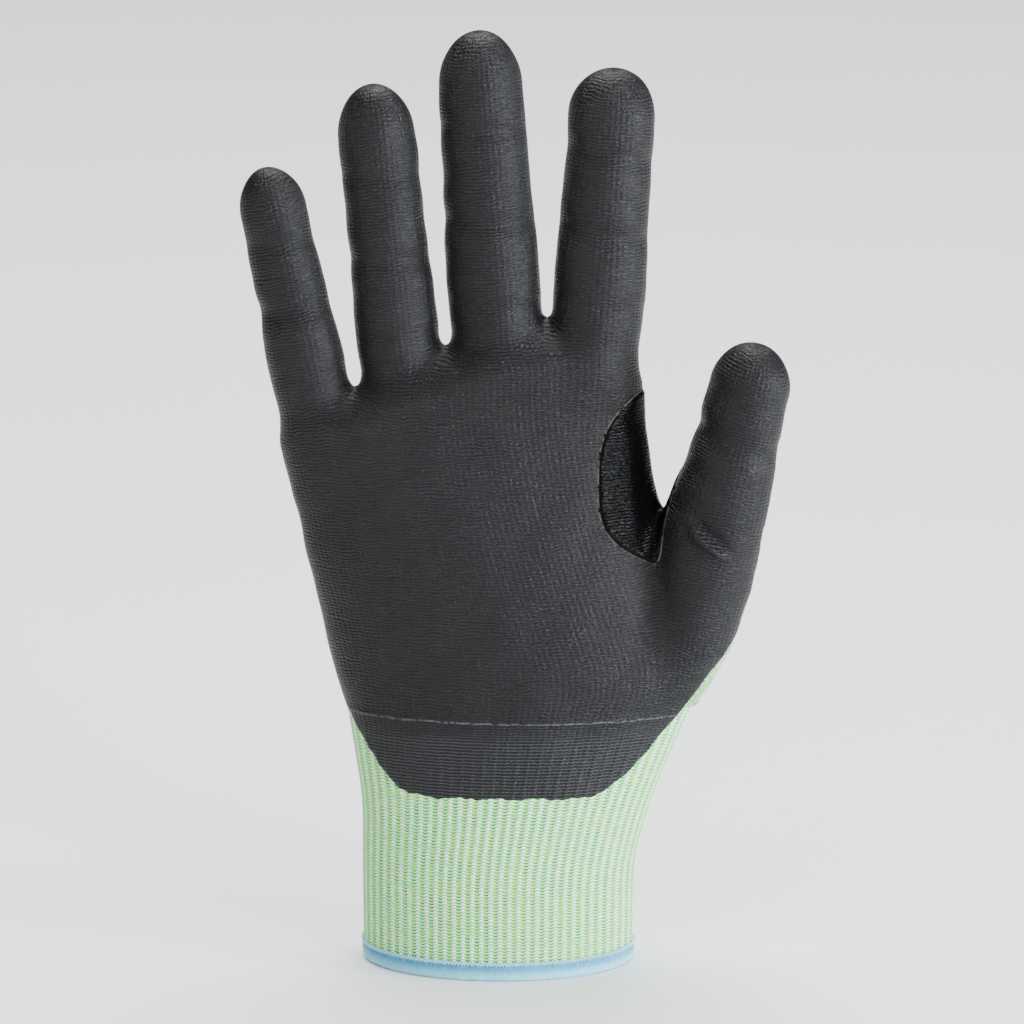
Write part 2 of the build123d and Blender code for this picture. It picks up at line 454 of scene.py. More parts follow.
def palm_columns(p):
    centre, a, b = PALM.section(p[:, 2])
    return columns(p[:, 0] - centre, p[:, 1], a, b, PALM_QUARTER, WALES_ROUND / 4)


for digit in DIGITS:
    a = digit.half_width(0.0)
    digit.quarter = round(np.pi * a * (1 + digit.depth) / 4 / DIGIT_WALE)
    front = digit.at(0, palm=a * digit.depth)[None]
    digit.first_column = round(float(palm_columns(front)[0]))


def shares(p):
    """Share of the hand and of each digit in a point of the skin."""
    near = np.stack(distances(p), -1)
    w = np.exp(-(near - near.min(-1, keepdims=True)) / SHARE_SOFTNESS)
    return w / w.sum(-1, keepdims=True)


def stitches(p, w):
    """Column and row of the knit at points of the skin."""
    column = w[:, 0] * palm_columns(p)
    row = w[:, 0] * p[:, 2]
    for n, digit in enumerate(DIGITS, 1):
        x, along, z = digit.local(p)
        a = digit.half_width(along)
        around = columns(x, z, a, a * digit.depth, DIGIT_QUARTER, digit.quarter)
        column += w[:, n] * (digit.first_column + around)
        row += w[:, n] * (along + digit.origin[2])
    return column, row / COURSE


def coating_edge():
    """Height of the coating's lower edge across the heel of the hand."""
    places = [("heel_coating", x) for x in (-27, -20, -10, 2, 12, 22, 32)]
    places += [("palm_coating", x) for x in (-39, 52, 58)]
    cuts = [(x * MM, upright_slice(node, x * MM)[:, 2]) for node, x in places]
    x, z = np.array(sorted((x, cut.min()) for x, cut in cuts if len(cut))).T
    fine = np.arange(-0.09, 0.09, 0.001)
    line = np.interp(fine, x, z) + np.clip(x[0] - fine, 0, 1) * 1.4 + np.clip(fine - x[-1], 0, 1)
    line += DRAWN_UP + DRAWN_MIDDLE * np.exp(-((fine / DRAWN_WIDTH) ** 4))
    return fine, smoothed(line, 4)


EDGE = coating_edge()
EDGE_ROUND = 3 * MM  # rounding where two parts of the coating's edge meet


def smooth_max(a, b, width):
    return -smooth_min(-a, -b, width)


def coated(p):
    """Above 0 where the coating covers the skin: about the distance to its edge."""
    w = shares(p)
    column, row = stitches(p, w)
    toward = -w[:, 0] * p[:, 1]
    tips = np.full(len(p), -1.0)
    for n, digit in enumerate(DIGITS, 1):
        _, along, z = digit.local(p)
        toward += w[:, n] * z
        tips = np.where(w[:, n] > 0.5, along - digit.length + TIP_COVER, tips)
    wave = 0.3 * np.sin(row * 0.21) + 0.14 * np.sin(row * 0.57 + 1.3) + 0.08 * np.sin(row * 1.9)
    side = toward + WRAP + wave * MM
    step = MM * (0.22 * np.sin(0.83 * column) + 0.12 * np.sin(2.3 * column + 1))
    lower = 0.8 * (p[:, 2] - np.interp(p[:, 0], *EDGE)) + step
    cover = smooth_min(side, lower, EDGE_ROUND)
    return smooth_max(cover, tips + wave * MM, EDGE_ROUND)


PATCH_LOW, PATCH_HIGH = (np.array(corner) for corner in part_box("crotch_patch"))
PATCH_ROUND = 6 * MM  # rounding of the patch's outline towards the back


def patched(p):
    """Above 0 where the crotch patch covers the skin."""
    centre, a, _ = PALM.section(p[:, 2])
    middle, half = (PATCH_LOW[2] + PATCH_HIGH[2]) / 2, (PATCH_HIGH[2] - PATCH_LOW[2]) / 2
    bow = np.abs((p[:, 2] - middle) / half) ** 3.2
    on_hand = p[:, 0] - PATCH_LOW[0] - (centre + a - PATCH_LOW[0]) * bow
    on_hand = smooth_min(0.7 * on_hand, PATCH_HIGH[1] - p[:, 1], PATCH_ROUND)
    on_hand = smooth_min(on_hand, half - np.abs(p[:, 2] - middle), 2 * MM)
    x, along, z = THUMB.local(p)
    w = THUMB.half_width(along)
    inner = np.clip(0.66 + 0.34 * (along + 14 * MM) / (24 * MM), 0.66, 1.2)
    on_thumb = smooth_min(-x - inner * w, PATCH_HIGH[1] - p[:, 1], PATCH_ROUND)
    on_thumb = smooth_min(on_thumb, p[:, 2] - PATCH_LOW[2] - 1 * MM, 4 * MM)
    thumb_share = shares(p)[:, -1]
    return np.where(thumb_share > 0.5, on_thumb, np.where(p[:, 0] > 0, on_hand, -1.0))


UNEVEN = ((4.5, 0.09), (3.6, 0.08), (2.6, 0.06), (1.7, 0.04))  # length and height of waves, mm
WAVES = [(unit(rng.normal(size=3)) / (length * MM), height, rng.uniform(0, 6.28))
         for length, height in UNEVEN for _ in range(3)]
FOLD_DEPTHS = (0.3, 0.55, 0.45)  # mm, across a digit at its root, knuckle and tip hinges
FOLD_WIDTH = 2.3  # mm
BULGE, BULGE_AT, BULGE_WIDTH = 0.6, 6.0, 3.2  # share of the fold's depth, and mm from its middle
CREASE, CREASE_WIDTH = 1.5, 1.1  # mm, the line across the thumb's base
ROLL, ROLL_AT, ROLL_WIDTH = 1.1, 3.0, 1.5  # mm, the dip that goes with it
SEAM_RELIEF, SEAM_WIDTH = 0.22 * MM, 0.6 * MM


def bell(x, middle, width):
    return np.exp(-(((x - middle) / width) ** 2))


def relief(p):
    """Folds, creases and soft unevenness of the skin, outwards."""
    out = np.zeros(len(p))
    for direction, amplitude, phase in WAVES:
        out += amplitude * MM * np.sin(p @ direction + phase)
    w = shares(p)
    for n, digit in enumerate(DIGITS, 1):
        x, along, z = digit.local(p)
        palm_side = 1 / (1 + np.exp(-(z / digit.half_width(along) - 0.15) * 9))
        for depth, hinge in zip(FOLD_DEPTHS, digit.hinges):
            gap = (along - hinge + 0.12 * x) / MM
            fold = BULGE * bell(np.abs(gap), BULGE_AT, BULGE_WIDTH) - bell(gap, 0, FOLD_WIDTH)
            out += w[:, n] * depth * MM * fold * (palm_side + 0.15 * (1 - palm_side))
    seam = SEAM + 0.5 * MM * np.sin(p[:, 0] * 90)
    out += SEAM_RELIEF * bell(p[:, 2], seam, SEAM_WIDTH) * (p[:, 1] < 0)
    # the thumb's base folds where it meets the heel of the hand
    x, along, z = THUMB.local(p)
    gap = (along + 4.5 * MM + 0.42 * x) / MM
    inside = np.exp(-(((x / MM - 3.5) / 5.5) ** 4)) * (z > 0)
    fold = CREASE * bell(gap, 0, CREASE_WIDTH) - ROLL * bell(gap, ROLL_AT, ROLL_WIDTH)
    out += w[:, -1] * MM * inside * fold
    return out


# ---------------------------------------------------------------- dividing the skin into pieces


class Zone:
    """A piece of the skin that rides on one body, or lies over the bend between two bodies and is
    kept in world space.
    """

    def __init__(self, name, bodies, start=None, end=None):
        self.name, self.bodies, self.start, self.end = name, bodies, start, end

    def attach(self, piece):
        if len(self.bodies) == 1:
            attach(piece, self.bodies[0])
        else:
            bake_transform(piece)


def digit_zones(digit):
    """The digit's pieces, and where along the digit each starts."""
    hinges = [*digit.hinges, digit.length + 20 * MM]
    names = ("root", "knuckle", "tip")[: len(digit.hinges)]
    parents = ["hand", *digit.bodies]
    start, end = -ZONE_BEFORE, ZONE_AFTER
    zones, cuts = [], []
    for n, name in enumerate(names):
        if n:
            reach = BEND_SHARE * min(hinges[n] - hinges[n - 1], hinges[n + 1] - hinges[n])
            if n == 1:
                reach = min(reach, hinges[1] - hinges[0] - ZONE_AFTER - 0.4 * MM)
            start, end = hinges[n] - reach, hinges[n] + reach
        cuts.append(start - 0.3 * MM if n == 0 else (start + last_end) / 2)
        last_end = end
        bodies = (parents[n], parents[n + 1])
        zones.append(Zone(f"{digit.name}_{name}", bodies, digit.at(start), digit.at(end)))
    return zones, cuts


HAND = Zone("hand", ("hand",))
WRIST_BEND = Zone("wrist", ("cuff", "hand"), (0, 0, WRIST_ZONE[0]), (0, 0, WRIST_ZONE[1]))


def zone_numbers(p):
    """For points of the skin, the number of the zone that each is in, and the zones."""
    near = np.stack(distances(p), -1)
    number = np.where(p[:, 2] < KNIT_START, 1, 0)
    zones = [HAND, WRIST_BEND]
    for n, digit in enumerate(DIGITS, 1):
        pieces, cuts = digit_zones(digit)
        along = digit.local(p)[1]
        rival = near if digit is THUMB else near[:, 1:]
        mine = rival.min(-1) == near[:, n]
        for piece, cut in zip(pieces, cuts):
            number[mine & (along > cut)] = len(zones)
            zones.append(piece)
    return number, zones


def snap(p, quads, function):
    """Slide the vertices beside the edge of a region onto that edge. Returns the faces inside."""
    value = function(p)
    inside = value[quads].mean(1) > 0
    corner = np.zeros(len(p), int)
    outer = np.zeros(len(p), int)
    np.add.at(corner, quads[inside].ravel(), 1)
    np.add.at(outer, quads[~inside].ravel(), 1)
    edge = (corner > 0) & (outer > 0)
    moved = p.copy()
    q = p[edge]
    for _ in range(3):
        slope = gradient(function, q, 0.3 * MM)
        up = gradient(field, q)
        up /= np.linalg.norm(up, axis=1)[:, None]
        slope -= up * (slope * up).sum(1)[:, None]
        size = np.maximum((slope * slope).sum(1), 0.05)
        step = -slope * (function(q) / size)[:, None]
        length = np.linalg.norm(step, axis=1)[:, None]
        q = q + step * np.minimum(1, 0.5 * CELL / np.maximum(length, 1e-9))
    moved[edge] = settle(q, rounds=2)
    return moved, inside


def new_piece(name, verts, faces, normals, material):
    mesh = bpy.data.meshes.new(name)
    mesh.from_pydata(verts.tolist(), [], [list(map(int, f)) for f in faces])
    mesh.materials.append(material)
    mesh.polygons.foreach_set("use_smooth", np.ones(len(faces), bool))
    mesh.update()
    if normals is not None:
        mesh.normals_split_custom_set_from_vertices(normals.tolist())
    piece = bpy.data.objects.new(name, mesh)
    bpy.context.scene.collection.objects.link(piece)
    return piece


def add_values(piece, **values):
    for name, data in values.items():
        attribute = piece.data.attributes.new(name, "FLOAT", "POINT")
        attribute.data.foreach_set("value", np.asarray(data, np.float32))


def boundary(quads):
    """Directed edges with a face on one side only."""
    edges = np.concatenate([np.stack([quads[:, n], quads[:, (n + 1) % 4]], 1) for n in range(4)])
    size = quads.max() + 1
    forward = edges[:, 0] * size + edges[:, 1]
    backward = edges[:, 1] * size + edges[:, 0]
    return edges[~np.isin(forward, backward)]


def shell_piece(name, quads, outer, inner, normals, material, slot, **values):
    """A closed skin between an outer and an inner layer of the same vertices."""
    used = np.unique(quads)
    renumber = np.full(len(outer), -1)
    renumber[used] = np.arange(len(used))
    top = renumber[quads]
    below = top[:, ::-1] + len(used)
    rim = boundary(top)
    wall = np.column_stack([rim[:, 1], rim[:, 0], rim[:, 0] + len(used), rim[:, 1] + len(used)])
    verts = np.concatenate([outer[used], inner[used]])
    all_normals = np.concatenate([normals[used], -normals[used]])
    piece = new_piece(name, verts, np.concatenate([top, below, wall]), all_normals, material)
    add_values(piece, **{key: np.tile(data[used], 2) for key, data in values.items()})
    return piece


# ---------------------------------------------------------------- materials


class Paint:
    """One procedural material, built from nodes. Its noise follows the surface's rest position."""

    def __init__(self, name, **constants):
        self.material = bpy.data.materials.new(name)
        self.material.use_nodes = True
        self.tree = self.material.node_tree
        self.shader = self.tree.nodes["Principled BSDF"]
        for key, value in constants.items():
            self.shader.inputs[key.replace("_", " ")].default_value = value
        self.bump = None

    def node(self, kind, **settings):
        node = self.tree.nodes.new("ShaderNode" + kind)
        for key, value in settings.items():
            setattr(node, key, value)
        return node

    def feed(self, socket, value):
        if isinstance(value, bpy.types.NodeSocket):
            self.tree.links.new(value, socket)
        else:
            socket.default_value = value

    def value(self, name):
        return self.node("Attribute", attribute_name=name).outputs["Fac"]

    def rest(self):
        return self.node("Attribute", attribute_name="rest").outputs["Vector"]

    def math(self, operation, *values):
        node = self.node("Math", operation=operation)
        for socket, value in zip(node.inputs, values):
            self.feed(socket, value)
        return node.outputs[0]

    def total(self, *terms):
        """The sum of (share, value) pairs."""
        out = None
        for share, value in terms:
            part = self.math("MULTIPLY", value, share)
            out = part if out is None else self.math("ADD", out, part)
        return out

    def wave(self, value, shift=0.0):
        """A smooth wave from 0 to 1, once for each whole number."""
        angle = self.math("MULTIPLY_ADD", value, 2 * np.pi, shift * 2 * np.pi)
        return self.math("MULTIPLY_ADD", self.math("COSINE", angle), 0.5, 0.5)

    def ramp(self, value, low, high, start=0.0, end=1.0):
        node = self.node("MapRange", interpolation_type="SMOOTHSTEP")
        for socket, entry in zip(node.inputs, (value, low, high, start, end)):
            self.feed(socket, entry)
        return node.outputs[0]

    def noise(self, scale, detail=2.0, vector=None, stretch=None):
        vector = vector or self.rest()
        if stretch:
            mapping = self.node("Mapping")
            self.feed(mapping.inputs["Vector"], vector)
            self.feed(mapping.inputs["Scale"], stretch)
            vector = mapping.outputs[0]
        node = self.node("TexNoise")
        self.feed(node.inputs["Vector"], vector)
        self.feed(node.inputs["Scale"], scale)
        self.feed(node.inputs["Detail"], detail)
        return node.outputs[0]

    def chance(self, x, y, shift=0.0):
        """A fixed random number for each whole x and y."""
        place = self.node("CombineXYZ")
        self.feed(place.inputs[0], self.math("FLOOR", x))
        self.feed(place.inputs[1], self.math("FLOOR", y))
        self.feed(place.inputs[2], shift)
        node = self.node("TexWhiteNoise", noise_dimensions="3D")
        self.feed(node.inputs["Vector"], place.outputs[0])
        return node.outputs[0]

    def mix(self, share, a, b):
        node = self.node("Mix", data_type="RGBA")
        for socket, entry in zip((node.inputs[0], node.inputs[6], node.inputs[7]), (share, a, b)):
            self.feed(socket, (*entry, 1.0) if isinstance(entry, tuple) else entry)
        return node.outputs[2]

    def raise_by(self, height, distance):
        node = self.node("Bump")
        self.feed(node.inputs["Height"], height)
        self.feed(node.inputs["Distance"], distance)
        if self.bump is not None:
            self.feed(node.inputs["Normal"], self.bump)
        self.bump = node.outputs[0]

    def finish(self, colour, roughness):
        self.feed(self.shader.inputs["Base Color"], colour)
        self.feed(self.shader.inputs["Roughness"], roughness)
        if self.bump is not None:
            self.feed(self.shader.inputs["Normal"], self.bump)
        return self.material


def coating_material():
    """Matt black foam. The knit's rows show through, most at the wrist where the coating is thinner;
    their crests are painted lighter there, partly as knit showing through and partly as a painted
    highlight.
    """
    paint = Paint("foam_coating", Specular_IOR_Level=0.16)
    column, row = paint.value("wale"), paint.value("course")
    wobble, broad = paint.noise(230.0, 3.0), paint.noise(42.0, 3.0)
    pores, grit = paint.noise(1300.0, 2.0), paint.noise(3600.0, 1.0)
    low = paint.value("telegraph_and_highlight")
    sway = paint.math("MULTIPLY", wobble, paint.ramp(low, 0.0, 1.0, 2.6, 0.5))
    bent = paint.total((1.0, row), (1.0, sway), (0.16, paint.wave(column)))
    thread = paint.ramp(paint.wave(bent), 0.1, 0.9)
    clear = paint.ramp(paint.noise(75.0, 2.0), 0.3, 0.65, 0.45, 1.0)
    shown = paint.math("MULTIPLY", thread, paint.math("MAXIMUM", clear, low))
    shown = paint.math("MULTIPLY", shown, paint.value("plain"))
    paint.raise_by(shown, 0.3 * MM)
    paint.raise_by(paint.wave(column), 0.06 * MM)
    paint.raise_by(pores, 0.3 * MM)
    paint.raise_by(grit, 0.1 * MM)
    dark = paint.mix(broad, (0.0034, 0.0032, 0.0036), (0.0062, 0.006, 0.0068))
    # painted highlight: the thread crests are lighter towards the wrist, partly knit showing through
    # the thinner coating and partly painted light
    show_through_and_highlight = paint.mix(low, (0.015, 0.015, 0.017), (0.042, 0.043, 0.048))
    colour = paint.mix(paint.math("MULTIPLY", shown, 0.55), dark, show_through_and_highlight)
    colour = paint.mix(paint.ramp(grit, 0.6, 0.78, 0.0, 0.5), colour, (0.032, 0.034, 0.04))
    wavy_row = paint.total((1.0, row), (1.2, wobble))
    away = paint.math("ABSOLUTE", paint.math("SUBTRACT", wavy_row, SEAM_ROW))
    seam = paint.math("MULTIPLY", paint.ramp(away, 0.42, 0.1), paint.ramp(pores, 0.35, 0.55))
    seam = paint.math("MULTIPLY", seam, paint.value("palm_side"))
    colour = paint.mix(seam, colour, (0.06, 0.062, 0.066))
    roughness = paint.total((0.26, broad), (0.16, pores), (0.18, 1.0))
    return paint.finish(colour, roughness)


def patch_material():
    """Glossy black nitrile with beads, paler where it was cut at the rim."""
    paint = Paint("glossy_patch", Specular_IOR_Level=0.03)
    row = paint.total((1.0, paint.value("course")), (1.2, paint.noise(260.0)))
    paint.raise_by(paint.wave(row), 0.05 * MM)
    beads = paint.noise(750.0, 3.0)
    paint.raise_by(beads, 0.28 * MM)
    colour = paint.mix(paint.noise(60.0, 3.0), (0.0012, 0.0012, 0.0014), (0.003, 0.003, 0.0034))
    rim = paint.ramp(paint.value("edge"), 0.34, 0.1)
    rim = paint.math("MULTIPLY", rim, paint.ramp(beads, 0.3, 0.6))
    colour = paint.mix(paint.math("MULTIPLY", rim, 0.8), colour, (0.08, 0.07, 0.062))
    roughness = paint.total((0.06, 1.0), (0.12, beads), (0.3, rim))
    return paint.finish(colour, roughness)


def rib_material():
    """Green dashes on the ribs' ridges and pale chevrons between them, both painted darker in the
    grooves between rows as shade.
    """
    paint = Paint("rib_knit", Specular_IOR_Level=0.25, Sheen_Weight=0.25)
    column, row = paint.value("wale"), paint.value("course")
    pair = paint.math("MULTIPLY", column, 0.5)
    ridge = paint.wave(pair)
    green = paint.ramp(ridge, 0.34, 0.6)
    slip = paint.total((1.0, row), (0.55, ridge), (0.5, paint.noise(420.0, 1.0)))
    thread = paint.wave(slip)
    patch = paint.chance(paint.math("ADD", pair, 0.5), slip)
    fleck = paint.chance(paint.total((1.6, column)), slip, 3.0)
    fine = paint.noise(2400.0, 2.0)
    deep = paint.mix(patch, (0.001, 0.15, 0.055), (0.012, 0.34, 0.11))
    light = paint.mix(fleck, (0.22, 0.86, 0.27), (0.36, 0.82, 0.14))
    # the dashes are light green on the rows' crests and deep green in the grooves between them:
    # partly the yarn's own dark green, partly painted shade
    dash = paint.mix(paint.ramp(thread, 0.3, 0.72), light, deep)
    dash = paint.mix(paint.ramp(fleck, 0.8, 0.9, 0.0, 0.75), dash, (0.36, 0.7, 0.04))
    pale = paint.mix(paint.ramp(patch, 0.3, 1.0), (0.68, 0.96, 0.7), (0.34, 0.9, 0.36))
    # painted shade: grey-green lines in the grooves between the chevrons' rows
    shade = paint.mix(fleck, (0.05, 0.42, 0.11), (0.26, 0.52, 0.33))
    chevron = paint.mix(paint.ramp(thread, 0.45, 0.95, 0.0, 0.85), pale, shade)
    colour = paint.mix(green, chevron, dash)
    yellowed = paint.ramp(paint.noise(55.0, 3.0), 0.3, 0.75, 0.0, 0.12)
    colour = paint.mix(yellowed, colour, (0.42, 0.76, 0.2))
    paint.raise_by(paint.ramp(paint.math("SUBTRACT", 1.0, thread), 0.0, 0.9), 0.32 * MM)
    paint.raise_by(fine, 0.1 * MM)
    return paint.finish(colour, paint.total((0.72, 1.0), (0.16, fine)))


def jersey_material():
    """Mottled green knit of the hand's back, with painted shade in the gaps between rows and in the
    valleys between columns.
    """
    paint = Paint("jersey_knit", Specular_IOR_Level=0.25, Sheen_Weight=0.25)
    column, row = paint.value("wale"), paint.value("course")
    valley = paint.wave(column, 0.5)
    slip = paint.total((1.0, row), (0.62, valley), (0.35, paint.noise(420.0, 1.0)))
    thread = paint.wave(slip)
    stitch = paint.chance(paint.math("ADD", column, 0.5), slip)
    fleck = paint.chance(paint.math("MULTIPLY", column, 2.0), slip, 3.0)
    fine = paint.noise(2400.0, 2.0)
    yarn = paint.mix(stitch, (0.04, 0.38, 0.09), (0.34, 0.76, 0.28))
    yarn = paint.mix(paint.ramp(fleck, 0.62, 0.72, 0.0, 0.7), yarn, (0.7, 0.9, 0.64))
    yarn = paint.mix(paint.ramp(fleck, 0.28, 0.18, 0.0, 0.7), yarn, (0.34, 0.68, 0.06))
    # painted shade: the gaps between rows are darkened
    gap = paint.math("MULTIPLY", paint.ramp(thread, 0.55, 1.0), 0.7)
    colour = paint.mix(gap, yarn, (0.012, 0.18, 0.04))
    # painted shade: the valleys between stitch columns are darkened
    colour = paint.mix(paint.ramp(valley, 0.7, 1.0, 0.0, 0.45), colour, (0.02, 0.2, 0.045))
    paint.raise_by(paint.math("SUBTRACT", 1.0, thread), 0.26 * MM)
    paint.raise_by(paint.wave(column), 0.3 * MM)
    paint.raise_by(fine, 0.1 * MM)
    return paint.finish(colour, paint.total((0.72, 1.0), (0.16, fine)))


def hem_material():
    """Blue overlock threads, paler towards the fold, with painted shade between the threads."""
    paint = Paint("overlock_thread", Specular_IOR_Level=0.3, Sheen_Weight=0.3)
    thread, height = paint.value("thread"), paint.value("height")
    strand = paint.wave(thread)
    tone = paint.chance(paint.math("ADD", thread, 0.5), 0.0)
    edge = paint.total((1.0, height), (0.22, tone), (0.22, paint.noise(900.0, 1.0)))
    blue = paint.mix(tone, (0.012, 0.18, 0.34), (0.05, 0.33, 0.54))
    pale = paint.mix(tone, (0.15, 0.56, 0.72), (0.36, 0.74, 0.86))
    colour = paint.mix(paint.ramp(edge, 0.38, 0.95), pale, blue)
    # painted shade: darker between the threads
    gap = paint.math("SUBTRACT", 1.0, strand)
    colour = paint.mix(paint.ramp(gap, 0.5, 1.0, 0.0, 0.6), colour, (0.02, 0.18, 0.3))
    fibres = paint.noise(3000.0, 2.0)
    paint.raise_by(strand, 0.1 * MM)
    paint.raise_by(fibres, 0.08 * MM)
    return paint.finish(colour, paint.total((0.66, 1.0), (0.18, fibres)))


def chain_material():
    """Two-tone thread of the zigzag on the hem."""
    paint = Paint("overlock_chain", Specular_IOR_Level=0.3, Sheen_Weight=0.3)
    twist = paint.wave(paint.total((3.0, paint.value("thread")), (1.0, paint.value("height"))))
    fibres = paint.noise(2600.0, 2.0)
    colour = paint.mix(fibres, (0.12, 0.48, 0.68), (0.56, 0.8, 0.9))
    colour = paint.mix(paint.ramp(twist, 0.6, 1.0, 0.0, 0.5), colour, (0.04, 0.3, 0.5))
    paint.raise_by(twist, 0.05 * MM)
    return paint.finish(colour, paint.total((0.6, 1.0), (0.2, fibres)))


def elastic_material():
    """Wrapped elastic inside the cuff."""
    paint = Paint("elastic_thread", Specular_IOR_Level=0.3)
    place = paint.node("TexCoord").outputs["Object"]
    wrap = paint.noise(1800.0, 2.0, vector=place)
    colour = paint.mix(wrap, (0.62, 0.74, 0.58), (0.86, 0.88, 0.82))
    paint.raise_by(wrap, 0.1 * MM)
    return paint.finish(colour, paint.total((0.6, 1.0), (0.25, wrap)))


def floor_material():
    """Pale, with a glow far from the object that makes up for the lamps' falloff."""
    paint = Paint("studio_floor", Specular_IOR_Level=0.1, Emission_Color=(0.97, 0.98, 1.0, 1.0))
    place = paint.node("TexCoord").outputs["Object"]
    distance = paint.node("VectorMath", operation="LENGTH")
    paint.feed(distance.inputs[0], place)
    glow = paint.ramp(distance.outputs["Value"], *GLOW_DISTANCES, 0.0, FLOOR_GLOW)
    paint.feed(paint.shader.inputs["Emission Strength"], glow)
    mottle = paint.noise(3.0, 2.0, vector=place)
    colour = paint.mix(mottle, (0.88, 0.88, 0.88), (0.92, 0.92, 0.92))
    return paint.finish(colour, paint.total((0.8, 1.0), (0.1, mottle)))


KNIT, RIBBED, COATED = jersey_material(), rib_material(), coating_material()
GLOSSY, HEM, CHAIN = patch_material(), hem_material(), chain_material()

# ---------------------------------------------------------------- hand: knit, coating and patch


def cad_nodes(zone, layer):
    """CAD nodes that a piece of the knit or the coating stands for."""
    if zone is HAND:
        return ["palm_" + layer]
    if zone is WRIST_BEND:
        return ["heel_coating"] if layer == "coating" else []
    return [f"{zone.bodies[1]}_{layer}"]


def texture_values(p):
    """What the materials need at each point, by attribute name."""
    column, row = stitches(p, shares(p))
    # where the coating is thinner near the wrist: drives the knit showing through and the painted
    # highlight on the coating's thread crests
    telegraph_and_highlight = np.clip((SEAM - p[:, 2]) / (5 * MM), 0, 1)
    edge = np.clip(patched(p) / MM, 0, 9)
    dome = np.zeros(len(p))
    for digit in DIGITS:
        x, along, z = digit.local(p)
        beside = np.hypot(x, z) < digit.half_width(along) * 1.3
        dome = np.maximum(dome, beside * np.clip((along - digit.pad) / (0.8 * digit.cap), 0, 1))
    palm_side = np.clip(-p[:, 1] / (4 * MM), 0, 1) * (p[:, 2] < 90 * MM)
    return {"wale": column, "course": row, "telegraph_and_highlight": telegraph_and_highlight, "edge": edge,
            "palm_side": palm_side, "plain": 1 - 0.85 * dome}


def add_rest(piece, rest):
    attribute = piece.data.attributes.new("rest", "FLOAT_VECTOR", "POINT")
    attribute.data.foreach_set("vector", np.asarray(rest, np.float32).ravel())


def dress(name, p, quads, outer, inner, material, slot, layer):
    """Build one layer of the glove as a closed piece for each zone."""
    number, zones = zone_numbers(p[quads].mean(1))
    normals = vertex_normals(outer, quads)
    values = texture_values(p)
    for index, zone in enumerate(zones):
        chosen = quads[number == index]
        if len(chosen) < 12:
            continue
        piece = shell_piece(f"{zone.name}_{name}", chosen, outer, inner, normals, material, slot,
                            **values)
        add_rest(piece, np.tile(p[np.unique(chosen)], (2, 1)))
        zone.attach(piece)
        if layer:
            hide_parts(*cad_nodes(zone, layer))


def push(p, normals, distance):
    return p + normals * np.reshape(distance, (-1, 1))


shape = relief(SKIN)
above_wrist = SKIN[QUADS].mean(1)[:, 2] > KNIT_START
dress("knit", SKIN, QUADS[above_wrist], push(SKIN, NORMALS, shape - COATING),
      push(SKIN, NORMALS, shape - COATING - LINER), KNIT, "knit", "liner")

cover, covered = snap(SKIN, QUADS, coated)
facing = vertex_normals(cover, QUADS)
column, row = stitches(cover, shares(cover))
fade = np.clip((68 * MM - cover[:, 2]) / (10 * MM), 0, 1)
lift = relief(cover) - RIBS_UNDER_COATING * np.cos(2 * np.pi / RIB * column) * fade
inset = 1 - np.clip(coated(cover) / LIP, 0, 1)
thickness = RIM + (COATING - RIM - SINK) * np.sqrt(1 - inset**2)
under = SINK - COATING
dress("coating", cover, QUADS[covered], push(cover, facing, lift + under + thickness),
      push(cover, facing, lift + under), COATED, "coating", "coating")

bonded, inside = snap(SKIN, QUADS, patched)
facing = vertex_normals(bonded, QUADS)
inset = 1 - np.clip(patched(bonded) / PATCH_LIP, 0, 1)
thickness = PATCH_RIM + PATCH * np.sqrt(1 - inset**2)
lift = relief(bonded) - PATCH_SINK
dress("patch", bonded, QUADS[inside], push(bonded, facing, lift + thickness),
      push(bonded, facing, lift), GLOSSY, "patch", None)
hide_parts("crotch_patch")

# ---------------------------------------------------------------- cuff: rib knit and hem


HEM_OUT, HEM_IN = 0.95 * MM, 1.55 * MM  # how far the binding swells outwards and into the cuff
HEM_MIDDLE = -COATING - 0.6 * MM  # offset of the binding's middle from the skin
HEM_THREADS, HEM_SIDES = 330, 20
THREAD_POINTS = 4  # points across one thread of the binding
CUFF_WALL = 1.5 * MM
CUFF_TUCK = 0.9 * MM  # how far the cuff's hidden top is tucked in
RIB_POINTS = 8  # points across one rib
STITCH_RELIEF = 0.05 * MM


def round_point(height, turn, offset=0.0):
    """Point on the cuff at a number of stitch columns round from the middle of the palm side."""
    quarter = WALES_ROUND / 4
    turn = np.mod(turn, WALES_ROUND)
    folded = np.where(turn > 2 * quarter, WALES_ROUND - turn, turn)
    front = folded <= quarter
    share = np.where(front, folded, 2 * quarter - folded) / quarter
    angle = np.interp(share, PALM_QUARTER[1], PALM_QUARTER[0])
    side = np.where(turn > 2 * quarter, -1.0, 1.0)
    centre, a, b = PALM.section(height)
    a, b = a + offset, b + offset
    x = centre + a * side * np.sin(angle)
    y = np.where(front, -1.0, 1.0) * b * np.cos(angle)
    column = side * np.where(front, folded, 2 * quarter - folded)
    return np.stack([x, y, np.broadcast_to(height, x.shape)], -1), column


def closed_quads(rows, around):
    """Quads between rows of points, closed along each row and from the last row to the first."""
    grid = np.arange(rows * around).reshape(rows, around)
    ahead, over = np.roll(grid, -1, 1), np.roll(grid, -1, 0)
    return np.stack([grid, ahead, np.roll(over, -1, 1), over], -1).reshape(-1, 4)


